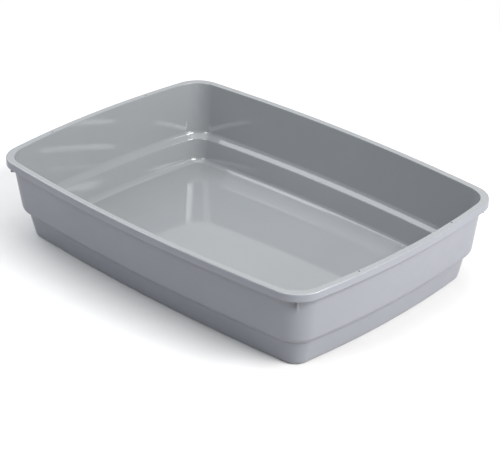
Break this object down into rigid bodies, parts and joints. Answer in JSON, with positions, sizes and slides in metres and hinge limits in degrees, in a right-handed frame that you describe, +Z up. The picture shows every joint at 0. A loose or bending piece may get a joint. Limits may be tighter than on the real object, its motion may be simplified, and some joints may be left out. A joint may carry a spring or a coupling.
{
  "type": "cat litter pan",
  "caption": "Open one-piece plastic cat litter pan with bowed drafted walls, a flat turned-down rim with corner gussets, and a stepped-in base.",
  "frame": {"origin": "middle of the flat underside, at the height that the pan stands on", "axes": "+X along the pan's length, +Y across its width, +Z up out of its open top"},
  "size_m": [0.4798, 0.3338, 0.097],
  "materials": {
    "pan_plastic": "cool grey moulded polypropylene, satin outside and glossier inside"
  },
  "bodies": {
    "root": {"litter_pan": "pan_plastic"}
  },
  "joints": []
}
